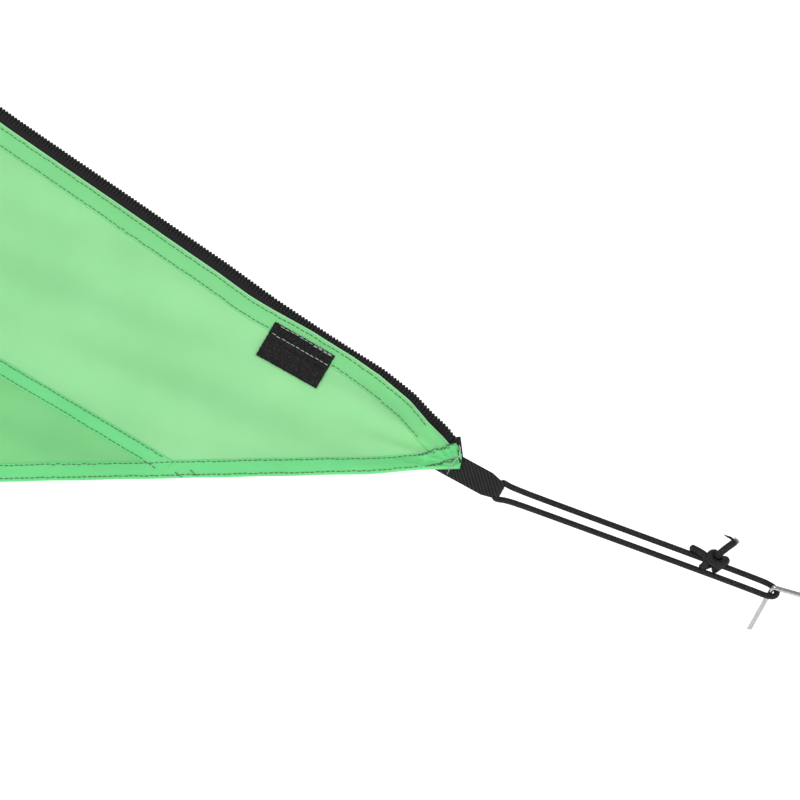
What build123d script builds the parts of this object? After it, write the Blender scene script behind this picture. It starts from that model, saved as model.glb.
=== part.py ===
"""Single-pole, floorless pyramid tarp shelter, pitched on its pole and its pegs.

Millimetres, +Z up. The origin is the centre of the pole foot's bottom face, on the
ground. +X points out of the doorway, and the near wall, which carries the zipper,
faces -Y. Each sub-part is written to parts/NODE.step.
"""
from build123d import *
from math import atan2, cos, hypot, pi, radians, sin, tan
import os

# Pitched size
half_length = 1500
half_width = 720
hem_height = 100
apex_height = 1200

# Cloth, seams and reinforcements
cloth = 0.6
ridge_inset = 3
seam_start = 173
seam_angle = 32
ridge_tape_width = 11
ridge_tape_thick = 0.8
ridge_tape_start = 40
ridge_tape_top_gap = 180
patch_length = 96
patch_height = 68
patch_start = 14
patch_above_hem = 1.5
apex_patch_drop = 95
apex_patch_thick = 1.6
apex_cup_top_gap = 3
apex_cup_height = 57
apex_cup_radius = 24
spigot_clear = 0.4

# Zipper on the near wall's front edge
zip_sag = 42
zip_end_x = 1.2
zip_end_y = 26
coil_width = 5.5
coil_thick = 2.4
tape_depth = 19
tape_thick = 0.6
fold_inset = 9.3
zip_top_gap = 185
stop_length = 4
stop_lip = 0.4
tape_past_stop = 12

# Slider, parked under the top stop
slider_length = 14
slider_width = 10
slider_thick = 7
slider_gap = 0.5
slider_below_stop = 4
bridge_length = 8
bridge_width = 3
bridge_height = 4
bridge_slot = 1.2
bridge_slot_length = 4
pull_length = 30
pull_width = 7
pull_thick = 1.4
pull_pin_radius = 0.9
pull_pin_height = 2.2
pull_fork_gap = 3.8
pull_hole_length = 5
pull_hole_width = 3
pin_play = 0.05

# Hook-and-loop tab on the zip-side hem
tab_from_corner = 88.5
tab_length = 43
tab_inset = 10
tab_turn = 5
tab_base_depth = 10.8
tab_flap_depth = 13
tab_thick = 1.5
tab_gap = 0.3
tab_crease = 0.2
tab_hinge_height = 1.9

# Tie-out: webbing loop, shock cord, knot and peg
strap_angle = -30.3
strap_width = 15.5
strap_thick = 2.4
strap_back = 28
strap_end_width = 9.4
strap_depth = 2.4
strap_length = 27
strap_neck = 10
barrel_radius = 3.2
bore_radius = 2.0
cord_diameter = 3.5
cord_end_gap = 0.5
cord_turn = 3.2
bore_corner = 7.8
loop_half = 4.15
loop_past_peg = 4.2
peg_turn = 4.1
peg_wire = 3.0
peg_bend = 3.0
peg_leg_length = 175
peg_arm_length = 30
peg_tail_length = 14
peg_point = 8
peg_tip_radius = 0.3
peg_tail_flare = 0.25
peg_mark_at = 40
peg_mark_width = 2
peg_mark_depth = 0.25
peg_lift = 3.4
knot_at = 142
knot_length = 18
knot_height = 11.6
knot_shoulder = 3
tail_radius = 2.1
knot_offset = (4.6, 1.2)
knot_tails = (((4, 3, 2), (14, 15, 5)), ((-5, 3, 2), (-14, 7, 5)))

# Pole
upper_radius = 9
upper_wall = 1
lower_radius = 7.5
upper_bottom = 560
upper_top = 1128
lower_bottom = 30
lower_top = 800
foot_radius = 13
foot_height = 42
spigot_radius = 4
spigot_top = 1172
clamp_radius = 14
clamp_height = 34
lever_thick = 5
lever_height = 16
lever_pin_radius = 1.5
ear_thick = 3
ear_width = 10
ear_gap = 0.5
split_width = 2
guide_clear = 0.3
lever_hub_radius = 4.2
lever_gap = 1
foot_round = 3
tip_plug_length = 20
tip_flange = 4
clamp_bottom = upper_bottom - 12
lever_axis_x = clamp_radius + 12.5

# Door, rolled along the far front ridge
roll_bottom_radius = 30
roll_top_radius = 10
roll_clear = 5
roll_start = 45
roll_end_gap = 190
roll_bore = 5
tie_places = (0.3, 0.68)
tie_width = 12
tie_thick = 2
tie_gap = 0.7
toggle_radius = 3
toggle_length = 34
toggle_gap = 0.4
toggle_waist = 4
toggle_groove = 0.8
door_strip_width = 7.6
door_strip_thick = 2.4
door_strip_past_end = 4

# The near wall's plane: x along the hem to the front, y up the slope, z outward.
slope = Vector(0, half_width, apex_height - hem_height)
slant = slope.length
near_normal = Vector(0, -slope.Z, slope.Y).normalized()
near_plane = Plane((half_length, -half_width, hem_height), (1, 0, 0), near_normal)
apex = Vector(0, 0, apex_height)

# The rear wall's plane, and the outward normal of the doorway
rear_normal = Vector(hem_height - apex_height, 0, half_length).normalized()
rear_plane = Plane((-half_length, 0, hem_height), (0, -1, 0), rear_normal)
door_normal = Vector(-rear_normal.X, 0, rear_normal.Z)

# Mirror planes for the other corners
across_xz = Plane.XZ
across_yz = Plane.YZ


def save(shape, name):
    shape.label = name
    export_step(shape, f"parts/{name}.step")


def outline(*points):
    return make_face(Polyline(*points, close=True))


def slab(face, low, high, plane=near_plane):
    """A flat face in a plane's own coordinates, as a solid from low to high above it."""
    return plane.location * extrude(Pos(0, 0, low) * face, high - low)


# Zipper line: an arc from the corner to the apex that bows into the wall
zip_chord = Vector(-half_length - zip_end_x, slant - zip_end_y)
zip_radius = zip_chord.length**2 / (8 * zip_sag) + zip_sag / 2
zip_out = Vector(zip_chord.Y, -zip_chord.X).normalized()
zip_centre = (
    Vector(zip_end_x, zip_end_y) + zip_chord * 0.5 + zip_out * (zip_radius - zip_sag)
)
zip_first = Vector(zip_end_x, zip_end_y) - zip_centre
zip_first_angle = atan2(zip_first.Y, zip_first.X)


def zip_point(along, inset):
    """A point in the near plane, so far up the zipper and so far into the wall."""
    angle = zip_first_angle - along / zip_radius
    reach = zip_radius + inset
    return Vector(zip_centre.X + reach * cos(angle), zip_centre.Y + reach * sin(angle))


zip_length = 2 * zip_radius * atan2(zip_chord.length / 2, zip_radius - zip_sag)


def zip_band(start, end, inner, outer):
    """The flat strip between two distances up the zipper and two insets."""
    middle = (start + end) / 2
    return make_face(
        [
            ThreePointArc(*(zip_point(t, inner) for t in (start, middle, end))),
            Line(zip_point(end, inner), zip_point(end, outer)),
            ThreePointArc(*(zip_point(t, outer) for t in (end, middle, start))),
            Line(zip_point(start, outer), zip_point(start, inner)),
        ]
    )


def zip_plane(along, inset):
    """x up the zipper, y into the wall, z outward from the cloth."""
    here = zip_point(along, inset)
    step = zip_point(along + 1, inset) - zip_point(along - 1, inset)
    origin = near_plane.from_local_coords(here)
    x_dir = near_plane.from_local_coords(here + step) - origin
    return Plane(origin, x_dir, near_plane.z_dir)


# Walls
def long_wall(zipped):
    """The whole long wall as a face in the near plane, less its seam allowances."""
    ridge = hypot(half_length, slant)
    drop = ridge_inset * ridge / half_length
    side = ridge_inset * ridge / slant
    face = outline((side - 2 * half_length, 0), (-side, 0), (-half_length, slant - drop))
    if not zipped:
        return face
    face = outline(
        (side - 2 * half_length, 0),
        (-0.6, 0),
        (0, 4.7),
        (-0.6, 9.8),
        (-3.4, 14.2),
        (-half_length / 2, slant),
        (-half_length, slant - drop),
    )
    return face - Pos(zip_centre.X, zip_centre.Y) * Circle(zip_radius + fold_inset)


def below_seam():
    """The half plane under the felled seam, as a large triangle."""
    far = 3 * half_length
    rise = (far - seam_start) * tan(radians(seam_angle))
    return outline((-far, -far), (-seam_start, -far), (-seam_start, 0), (-far, rise))


def wall_panels(zipped):
    face = long_wall(zipped)
    below = below_seam()
    return [slab(part, -cloth, 0) for part in (face & below, face - below)]


def rear_wall():
    run = hypot(half_length, apex_height - hem_height)
    side = ridge_inset * hypot(half_width, run) / run
    drop = ridge_inset * hypot(half_width, run) / half_width
    face = outline((side - half_width, 0), (half_width - side, 0), (0, run - drop))
    return slab(face, -cloth, 0, rear_plane)


def ridge_tape():
    """A folded strip over the ridge between the near wall and the rear wall."""
    foot = Vector(-half_length, -half_width, hem_height)
    up = (apex - foot).normalized()
    into_near = up.cross(near_normal)
    into_rear = rear_normal.cross(up)
    bisector = (near_normal + rear_normal).normalized()
    peak = 1 / near_normal.dot(bisector)

    def section(height):
        return [
            into_near * ridge_tape_width + near_normal * height,
            bisector * (height * peak),
            into_rear * ridge_tape_width + rear_normal * height,
        ]

    start = foot + up * ridge_tape_start
    ring = section(0) + section(ridge_tape_thick)[::-1]
    face = make_face(Polyline(*[start + p for p in ring], close=True))
    length = (apex - foot).length - ridge_tape_start - ridge_tape_top_gap
    return extrude(face, length, dir=up)


def door_seam_tape():
    """A flat strip over the seam between the far wall and the door, in the near plane."""
    ridge = Vector(-half_length, slant).normalized()
    inward = Vector(-ridge.Y, ridge.X)
    start = ridge * ridge_tape_start + inward * ridge_inset
    end = ridge * (hypot(half_length, slant) - ridge_tape_top_gap) + inward * ridge_inset
    wide = inward * ridge_tape_width
    return slab(outline(start, start + wide, end + wide, end), 0, ridge_tape_thick)


def corner_patch():
    face = outline(
        (-patch_start, patch_above_hem),
        (-patch_start - patch_length, patch_above_hem),
        (-patch_start - patch_length, patch_above_hem + patch_height),
    )
    return slab(face, -2 * cloth, -cloth)


# Apex
def pyramid(top, bottom):
    """The space under four planes parallel to the walls that meet at height top."""
    size = (top - bottom) / (apex_height - hem_height)
    base = Pos(0, 0, bottom) * Rectangle(2 * half_length * size, 2 * half_width * size)
    tip = 0.001
    small = Rectangle(2 * half_length * size * tip, 2 * half_width * size * tip)
    return loft([base, Pos(0, 0, top - (top - bottom) * tip) * small])


def apex_patch():
    """Four-sided doubled cloth over the peak."""
    bottom = apex_height - apex_patch_drop
    inner = pyramid(apex_height, bottom - 4)
    return pyramid(apex_height + apex_patch_thick, bottom) - inner


def apex_cup():
    """A moulded cup under the peak, bored for the pole's spigot."""
    top = apex_height - apex_cup_top_gap
    bottom = top - apex_cup_height
    column = Pos(0, 0, (top + bottom) / 2) * Cylinder(apex_cup_radius, apex_cup_height)
    bore = Pos(0, 0, bottom) * Cylinder(
        spigot_radius + spigot_clear, 2 * (spigot_top + 1 - bottom)
    )
    return (pyramid(top, bottom) & column) - bore


# Zipper
coil_low = -cloth - tape_thick / 2 - coil_thick / 2
coil_high = coil_low + coil_thick
zip_top = zip_length - zip_top_gap


def zip_coil():
    return slab(zip_band(0, zip_top, 0, coil_width), coil_low, coil_high)


def zip_tape():
    top = zip_top + tape_past_stop
    return slab(zip_band(0, top, coil_width, tape_depth), -cloth - tape_thick, -cloth)


def top_stop():
    face = zip_band(zip_top, zip_top + stop_length, 0, coil_width)
    return slab(face, coil_low - stop_lip, coil_high + stop_lip)


slider_at = zip_top - slider_below_stop - slider_length / 2
slider_frame = zip_plane(slider_at, coil_width / 2)
slider_low = coil_low - (slider_thick - coil_thick) / 2
slider_high = slider_low + slider_thick
pull_pin_z = slider_high + pull_pin_height


def slider_body():
    """A shell round the coil, open towards the tape, with a bridge for the pull."""
    middle = (slider_low + slider_high) / 2
    shell = Pos(0, 0, middle) * Box(slider_length, slider_width, slider_thick)
    channel = Pos(0, 0, middle) * Box(
        2 * slider_length, coil_width + 2 * slider_gap, coil_thick + 2 * slider_gap
    )
    mouth = Pos(0, slider_width / 2, middle) * Box(
        2 * slider_length, slider_width, tape_thick + 2 * slider_gap
    )
    bridge = Box(bridge_length, bridge_width, bridge_height)
    gap = Box(bridge_slot_length, bridge_slot, bridge_height)
    ears = Pos(0, 0, bridge_height / 2) * bridge - Pos(0, 0, bridge_height / 2 + 1) * gap
    hole = Pos(0, 0, pull_pin_z) * Rot(90, 0, 0) * Cylinder(pull_pin_radius, slider_width)
    shape = shell - channel - mouth + Pos(0, 0, slider_high) * ears - hole
    return slider_frame.location * shape


def slider_pull():
    """A flat tongue that hangs down the zipper from a pin in the bridge."""
    past_pin = 1.5
    tongue_length = pull_length - 3 + past_pin
    tongue = Pos(past_pin - tongue_length / 2, 0, 0) * Box(
        tongue_length, pull_width, pull_thick
    )
    fork_gap = Box(2 * bridge_length - 4, pull_fork_gap, slider_thick)
    hole = Pos(-pull_length + 6, 0, 0) * Box(pull_hole_length, pull_hole_width, slider_thick)
    pin = Rot(90, 0, 0) * Cylinder(pull_pin_radius - pin_play, pull_width)
    return slider_frame.location * (Pos(0, 0, pull_pin_z) * (tongue - fork_gap - hole + pin))


# Hook-and-loop tab
tab_middle = tab_from_corner + tab_length / 2
tab_depth = tab_base_depth + tab_crease + tab_flap_depth
tab_at = zip_plane(tab_middle, tab_inset + tab_depth / 2)
tab_frame = Plane(tab_at.location * Rot(0, 0, tab_turn))
tab_hinge_y = tab_base_depth + tab_crease / 2 - tab_depth / 2


def tab_base():
    """The half that is sewn to the hem."""
    face = Pos(0, (tab_base_depth - tab_depth) / 2) * Rectangle(tab_length, tab_base_depth)
    return slab(face, 0, tab_thick, tab_frame)


def tab_flap():
    """The free half, which lifts about the crease."""
    face = Pos(0, (tab_depth - tab_flap_depth) / 2) * Rectangle(tab_length, tab_flap_depth)
    return slab(face, tab_gap, tab_gap + tab_thick, tab_frame)


# Tie-outs. Each is laid out in a plane whose x axis lies along the hem at a corner.
bore_at = Vector(22.5, -14.0, -strap_depth)
peg_bend_at = Vector(190.6, -79.3, peg_lift - strap_depth)
pull_turn = 21.2
middle_pull_down = 18
corner_leg = Vector(-0.30, 0.35, -0.887).normalized()
corner_arm = Vector(0.92, -0.35, -0.16).normalized()
middle_leg = Vector(0, 0.42, -0.9075).normalized()
middle_arm = Vector(0, -0.97, -0.243).normalized()


def middle_plane():
    """The tie-out plane at the middle of the near hem, which pulls straight out."""
    down = radians(middle_pull_down)
    pull = Vector(0, -cos(down), -sin(down))
    side = Vector(1, 0, 0)
    turn = radians(pull_turn)
    x_dir = pull * cos(turn) + side * sin(turn)
    return Plane((0, -half_width, hem_height), x_dir, (0, -sin(down), cos(down)))


def webbing(plane):
    """A folded strap with a round fold at its end that the cord runs through."""
    frame = Plane(bore_at, (cos(radians(strap_angle)), sin(radians(strap_angle)), 0))
    length = strap_length + strap_back
    half = strap_width / 2
    end = strap_end_width / 2
    face = outline(
        (-length, -half),
        (-strap_neck, -half),
        (0, -end),
        (0, end),
        (-strap_neck, half),
        (-length, half),
    )
    strap = Pos(0, 0, -strap_thick / 2) * extrude(face, strap_thick)
    barrel = Rot(90, 0, 0) * Cylinder(barrel_radius, strap_end_width)
    bore = Rot(90, 0, 0) * Cylinder(bore_radius, 3 * strap_width)
    return plane.location * (frame.location * (strap + barrel - bore))


def in_plane(plane, direction):
    """A direction of the row frame, in a plane's own coordinates."""
    return Vector(
        plane.x_dir.dot(direction), plane.y_dir.dot(direction), plane.z_dir.dot(direction)
    )


def peg_crossing(plane, leg):
    """Where the peg's leg passes through the cord's loop, in the plane's coordinates."""
    local = in_plane(plane, leg)
    return peg_bend_at + local * (peg_lift / -local.Z)


def loop_frame(plane, leg):
    """x along the cord's loop from the webbing to the peg, y across it, z outward."""
    return Plane(bore_at, peg_crossing(plane, leg) - bore_at, (0, 0, 1))


def cord_route(plane, leg):
    """Corner points of the cord's loop, from the webbing round the peg and back."""
    frame = loop_frame(plane, leg)
    crossing = peg_crossing(plane, leg)
    end = (crossing - bore_at).length + loop_past_peg
    tilt = radians(strap_angle + 90) - atan2(frame.y_dir.Y, frame.y_dir.X)
    across = Vector(-sin(tilt), cos(tilt))
    points = [
        across * (cord_end_gap / 2),
        across * bore_corner,
        Vector(end, loop_half),
        Vector(end, -loop_half),
        across * -bore_corner,
        across * (-cord_end_gap / 2),
    ]
    return [frame.from_local_coords(p) for p in points]


cord_radii = [cord_turn, peg_turn, peg_turn, cord_turn]


def tube(path, radius):
    start = Plane(path @ 0, z_dir=path % 0)
    return sweep(start * Circle(radius), path=path)


def cord_loop(plane, leg):
    points = [plane.from_local_coords(p) for p in cord_route(plane, leg)]
    path = FilletPolyline(*points, radius=cord_radii)
    return tube(path, cord_diameter / 2), path.length


def knot(plane, leg):
    """A lump round the upper strand, with the cord's two cut ends."""
    frame = loop_frame(plane, leg)
    centre = Vector(knot_at, *knot_offset)
    half = knot_length / 2
    profile = make_face(
        [
            Polyline((half, knot_shoulder), (half, 0), (-half, 0), (-half, knot_shoulder)),
            ThreePointArc((-half, knot_shoulder), (0, knot_height / 2), (half, knot_shoulder)),
        ]
    )
    lump = Pos(*centre) * revolve(profile, Axis.X)
    tails = []
    for start, end in knot_tails:
        line = Line(centre + Vector(*start), centre + Vector(*end))
        tails.append(tube(line, tail_radius))
    return plane.location * (frame.location * (lump + tails[0] + tails[1]))


def peg(plane, leg, arm):
    """A bent wire peg whose leg has a groove that marks how deep it goes."""
    bend = plane.from_local_coords(peg_bend_at)
    shoulder = bend + leg * (peg_leg_length - peg_point)
    elbow = bend + arm * peg_arm_length
    tail = elbow + (leg + arm * peg_tail_flare).normalized() * peg_tail_length
    path = FilletPolyline(shoulder, bend, elbow, tail, radius=[peg_bend, peg_bend])
    wire = tube(path, peg_wire / 2)
    point = Plane(shoulder, z_dir=leg).location * Cone(
        peg_wire / 2,
        peg_tip_radius,
        peg_point,
        align=(Align.CENTER, Align.CENTER, Align.MIN),
    )
    ring = Cylinder(peg_wire, peg_mark_width)
    ring -= Cylinder(peg_wire / 2 - peg_mark_depth, peg_mark_width)
    return wire + point - Plane(bend + leg * peg_mark_at, z_dir=leg).location * ring


def tie_out(plane, leg, arm):
    cord, length = cord_loop(plane, leg)
    volume = length * pi * (cord_diameter / 2) ** 2
    print("cord length", round(length, 1))
    print("cord tube volume", round(cord.volume, 1), "of", round(volume, 1))
    return {
        "webbing": webbing(plane),
        "cord": cord,
        "knot": knot(plane, leg),
        "peg": peg(plane, leg, arm),
    }


def save_tie_outs():
    corner = tie_out(near_plane, corner_leg, corner_arm)
    middle = tie_out(middle_plane(), middle_leg, middle_arm)
    for kind, shape in corner.items():
        save(shape, f"{kind}_near_front")
        save(mirror(shape, across_xz), f"{kind}_far_front")
        save(mirror(shape, across_yz), f"{kind}_near_rear")
        save(mirror(mirror(shape, across_xz), across_yz), f"{kind}_far_rear")
    for kind, shape in middle.items():
        save(shape, f"{kind}_near_middle")
        save(mirror(shape, across_xz), f"{kind}_far_middle")


# Pole
def tube_between(radius, wall, bottom, top):
    middle = Pos(0, 0, (bottom + top) / 2)
    return middle * (Cylinder(radius, top - bottom) - Cylinder(radius - wall, top - bottom))


def pole_foot():
    outer = Pos(0, 0, foot_height / 2) * Cylinder(foot_radius, foot_height)
    outer = fillet(outer.edges().group_by(Axis.Z)[-1], foot_round)
    socket_height = foot_height - lower_bottom
    socket = Pos(0, 0, lower_bottom + socket_height / 2) * Cylinder(lower_radius, socket_height)
    return outer - socket


def pole_tip():
    """A plug in the top of the upper tube, with a spigot that stands in the apex cup."""
    plug = Pos(0, 0, upper_top - tip_plug_length / 2) * Cylinder(
        upper_radius - upper_wall, tip_plug_length
    )
    flange = Pos(0, 0, upper_top + tip_flange / 2) * Cylinder(upper_radius, tip_flange)
    spigot_height = spigot_top - upper_top - tip_flange
    spigot = Pos(0, 0, spigot_top - spigot_height / 2) * Cylinder(spigot_radius, spigot_height)
    return plug + flange + fillet(spigot.edges().group_by(Axis.Z)[-1], 1.5)


def pole_clamp():
    """A split collar on the upper tube's lower end, with ears and a pin for the lever."""
    middle = clamp_bottom + clamp_height / 2
    collar = Pos(0, 0, middle) * Cylinder(clamp_radius, clamp_height)
    seat_length = 3 * clamp_height
    tube_seat = Pos(0, 0, upper_bottom + seat_length / 2) * Cylinder(upper_radius, seat_length)
    guide = Pos(0, 0, clamp_bottom) * Cylinder(lower_radius + guide_clear, seat_length)
    split = Pos(clamp_radius, 0, middle) * Box(clamp_radius, split_width, 2 * clamp_height)
    shape = collar - split
    ear_length = lever_axis_x - clamp_radius + 12
    for side in (-1, 1):
        ear_middle = middle + side * (lever_height / 2 + ear_gap + ear_thick / 2)
        ear = Box(ear_length, ear_width, ear_thick)
        shape += Pos((clamp_radius + lever_axis_x) / 2, 0, ear_middle) * ear
    pin = Pos(lever_axis_x, 0, middle) * Cylinder(lever_pin_radius, lever_height + 4)
    return shape + pin - tube_seat - guide


def clamp_lever():
    """A curved lever that lies round the collar and turns about an upright pin."""
    inner = clamp_radius + lever_gap
    outer = inner + lever_thick
    hub = Pos(lever_axis_x, 0, 0) * Cylinder(lever_hub_radius, lever_height)
    ring = Cylinder(outer, lever_height) - Cylinder(inner, lever_height)
    near_half = Pos(0, outer + 8, 0) * Box(3 * outer, 2 * outer, lever_height)
    knuckle = Pos(lever_axis_x - 1.7, 6, 0) * Box(4.6, 12, lever_height)
    bridge = Pos(lever_axis_x - 5.6, 10.2, 0) * Box(12, 4.6, lever_height)
    bore = Pos(lever_axis_x, 0, 0) * Cylinder(lever_pin_radius + pin_play, 2 * lever_height)
    lever = hub + (ring & near_half) + knuckle + bridge - bore
    return Pos(0, 0, clamp_bottom + clamp_height / 2) * lever


# Door roll
def roll_axis():
    """The roll's two end centres, beside the ridge in the plane of the doorway."""
    foot = Vector(half_length, half_width, hem_height)
    up = (apex - foot).normalized()
    into_door = door_normal.cross(up)
    length = (apex - foot).length
    start = foot + up * roll_start + into_door * (roll_bottom_radius + roll_clear)
    end = foot + up * (length - roll_end_gap) + into_door * (roll_top_radius + roll_clear)
    return start, end


def roll_frame(share):
    start, end = roll_axis()
    return Plane(start + (end - start) * share, (1, 0, 0), (end - start).normalized())


def roll_radius(share):
    return roll_bottom_radius + (roll_top_radius - roll_bottom_radius) * share


def door_roll():
    start, end = roll_axis()
    length = (end - start).length
    upward = (Align.CENTER, Align.CENTER, Align.MIN)
    cone = Cone(roll_bottom_radius, roll_top_radius, length, align=upward)
    bore = Cylinder(roll_bore, length, align=upward)
    return roll_frame(0).location * (cone - bore)


def door_zip():
    """The door's half of the zipper, at the core of the roll."""
    start, end = roll_axis()
    length = (end - start).length
    strip = Box(
        door_strip_width,
        door_strip_thick,
        length + 2 * door_strip_past_end,
        align=(Align.CENTER, Align.CENTER, Align.MIN),
    )
    return roll_frame(0).location * (Pos(0, 0, -door_strip_past_end) * strip)


def tie_bands():
    bands = []
    for share in tie_places:
        inner = roll_radius(share) + tie_gap
        ring = Cylinder(inner + tie_thick, tie_width) - Cylinder(inner, tie_width)
        bands.append(roll_frame(share).location * ring)
    return Compound(bands)


def toggle_centre(share):
    """Out from the roll along the doorway's outward normal."""
    frame = roll_frame(share)
    away = roll_radius(share) + tie_gap + tie_thick + toggle_gap + toggle_radius
    return frame.origin + door_normal * away


def toggle(share):
    frame = roll_frame(share)
    bar = Cylinder(toggle_radius, toggle_length)
    bar = fillet(bar.edges(), 1)
    waist = Cylinder(toggle_radius, toggle_waist)
    waist -= Cylinder(toggle_radius - toggle_groove, toggle_waist)
    return Plane(toggle_centre(share), (1, 0, 0), frame.z_dir).location * (bar - waist)


def show_axes():
    """Prints what the record needs to know about the moving pieces, in metres."""

    def row(vector, scale=0.001):
        return [round(x * scale, 6) for x in tuple(vector)]

    print("zip direction", row(slider_frame.x_dir, 1), "across", row(slider_frame.y_dir, 1))
    pin = slider_frame.from_local_coords(Vector(0, 0, pull_pin_z))
    print("pull pin", row(pin))
    lift_at = tab_frame.from_local_coords(Vector(0, tab_hinge_y, tab_hinge_height))
    print("tab hinge", row(lift_at), row(tab_frame.x_dir, 1))
    for place in tie_places:
        print("toggle", row(toggle_centre(place)), row(door_normal, 1))
    for name, plane, leg in (
        ("corner", near_plane, corner_leg),
        ("middle", middle_plane(), middle_leg),
    ):
        print("peg bend", name, row(plane.from_local_coords(peg_bend_at)), row(leg, 1))
        print("cord route", name, [row(p) for p in cord_route(plane, leg)])
        print("cord radii", name, cord_radii)
    print("lever axis", lever_axis_x, "zipper", round(zip_length), "radius", round(zip_radius))


def main():
    os.makedirs("parts", exist_ok=True)
    for panel, name in zip(wall_panels(True), ("near_main_panel", "near_front_panel")):
        save(panel, name)
    for panel, name in zip(wall_panels(False), ("far_main_panel", "far_front_panel")):
        save(mirror(panel, across_xz), name)
    save(rear_wall(), "rear_wall")
    save(ridge_tape(), "near_rear_ridge_tape")
    save(mirror(ridge_tape(), across_xz), "far_rear_ridge_tape")
    save(mirror(door_seam_tape(), across_xz), "door_seam_tape")
    patch = corner_patch()
    save(patch, "patch_near_front")
    save(mirror(patch, across_xz), "patch_far_front")
    save(mirror(patch, across_yz), "patch_near_rear")
    save(mirror(mirror(patch, across_xz), across_yz), "patch_far_rear")
    save(apex_patch(), "apex_patch")
    save(apex_cup(), "apex_cup")
    save(zip_tape(), "zip_tape")
    save(zip_coil(), "zip_coil")
    save(top_stop(), "zip_top_stop")
    save(slider_body(), "slider_body")
    save(slider_pull(), "slider_pull")
    save(tab_base(), "tab_base")
    save(tab_flap(), "tab_flap")
    save_tie_outs()
    save(tube_between(upper_radius, upper_wall, upper_bottom, upper_top), "pole_upper_tube")
    save(tube_between(lower_radius, 1, lower_bottom, lower_top), "pole_lower_tube")
    save(pole_foot(), "pole_foot")
    save(pole_tip(), "pole_tip")
    save(pole_clamp(), "pole_clamp")
    save(clamp_lever(), "clamp_lever")
    save(door_roll(), "door_roll")
    save(door_zip(), "door_zip")
    save(tie_bands(), "door_tie_bands")
    for share, name in zip(tie_places, ("toggle_lower", "toggle_upper")):
        save(toggle(share), name)
    show_axes()


main()
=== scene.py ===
"""Looks for the single-pole tarp shelter: coated cloth, zipper, tie-outs and pole.

Metres, in the CAD model's frame: the origin is the pole foot's bottom face, +X points out
of the doorway, and the zipped near wall faces -Y. Wall coordinates are x along the hem
towards the front corner, y up the slope and lift outward from the cloth.
"""
import bmesh
import bpy
import numpy as np
from math import atan2, cos, pi, radians, sin
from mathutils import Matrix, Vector


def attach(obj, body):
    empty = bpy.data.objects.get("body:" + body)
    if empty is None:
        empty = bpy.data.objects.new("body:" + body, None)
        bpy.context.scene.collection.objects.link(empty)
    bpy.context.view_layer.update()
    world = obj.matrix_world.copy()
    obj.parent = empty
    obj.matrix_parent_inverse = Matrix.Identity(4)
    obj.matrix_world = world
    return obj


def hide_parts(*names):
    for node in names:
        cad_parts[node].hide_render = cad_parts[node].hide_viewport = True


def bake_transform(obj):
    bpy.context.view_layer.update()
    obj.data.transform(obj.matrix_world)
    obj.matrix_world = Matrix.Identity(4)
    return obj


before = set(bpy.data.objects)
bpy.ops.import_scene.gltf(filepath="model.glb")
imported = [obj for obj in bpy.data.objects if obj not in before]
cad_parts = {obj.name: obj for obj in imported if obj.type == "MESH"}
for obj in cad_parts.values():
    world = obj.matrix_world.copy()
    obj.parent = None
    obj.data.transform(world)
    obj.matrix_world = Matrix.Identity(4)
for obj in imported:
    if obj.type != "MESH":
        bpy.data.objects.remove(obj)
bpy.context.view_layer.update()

# Pitched size and cut, as in the CAD model
half_length = 1.5
half_width = 0.72
hem_height = 0.1
apex_height = 1.2
seam_start = 0.173
seam_angle = radians(32)
zip_sag = 0.042
zip_end = (0.0012, 0.026)
tape_depth = 0.019
zip_top_gap = 0.185
strap_angle = radians(-30.3)
bore_at = (0.0225, -0.014)
tie_out_depth = -0.0024
pull_turn = radians(21.2)
middle_pull_down = radians(18)
cord_diameter = 0.0035
places = {
    "near_front": (1, 1),
    "far_front": (1, -1),
    "near_rear": (-1, 1),
    "far_rear": (-1, -1),
    "near_middle": (1, 1),
    "far_middle": (1, -1),
}

slant = np.hypot(half_width, apex_height - hem_height)
rng = np.random.default_rng(7)


# ---------------------------------------------------------------- mesh helpers
def new_object(name, data):
    made = bpy.data.objects.new(name, data)
    bpy.context.scene.collection.objects.link(made)
    return made


def piece(name, points, faces, material, cut=None):
    """A mesh object in the row frame. cut gives each point's place on the flat cloth."""
    mesh = bpy.data.meshes.new(name)
    points = np.asarray(points, float)
    faces = [list(map(int, face)) for face in faces]
    mesh.from_pydata(points.tolist(), [], faces)
    cut = points if cut is None else np.asarray(cut)
    attribute = mesh.attributes.new("cut", "FLOAT_VECTOR", "POINT")
    flat = np.zeros((len(points), 3), np.float32)
    flat[:, : cut.shape[1]] = cut
    attribute.data.foreach_set("vector", flat.ravel())
    mesh.validate()
    shell = bmesh.new()
    shell.from_mesh(mesh)
    bmesh.ops.recalc_face_normals(shell, faces=shell.faces)
    shell.to_mesh(mesh)
    shell.free()
    mesh.polygons.foreach_set("use_smooth", [True] * len(mesh.polygons))
    mesh.materials.append(material)
    return new_object(name, mesh)


def shown(name, shape, material, body, slot, *nodes):
    """A piece from its points, faces and cut, riding a body and standing for CAD nodes."""
    made = piece(name, shape[0], shape[1], material, *shape[2:])
    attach(made, body)
    if nodes:
        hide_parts(*nodes)
    return made


def cloth_piece(name, shape, material, *nodes):
    return shown(name, shape, material, "shelter", "cloth", *nodes)


def grid(rows, columns, close_rows=False, close_columns=False):
    """Quads over a grid of points that is stored row by row."""
    index = np.arange(rows * columns).reshape(rows, columns)
    if close_rows:
        index = np.vstack([index, index[:1]])
    if close_columns:
        index = np.hstack([index, index[:, :1]])
    quads = np.stack([index[:-1, :-1], index[:-1, 1:], index[1:, 1:], index[1:, :-1]], -1)
    return quads.reshape(-1, 4)


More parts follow.
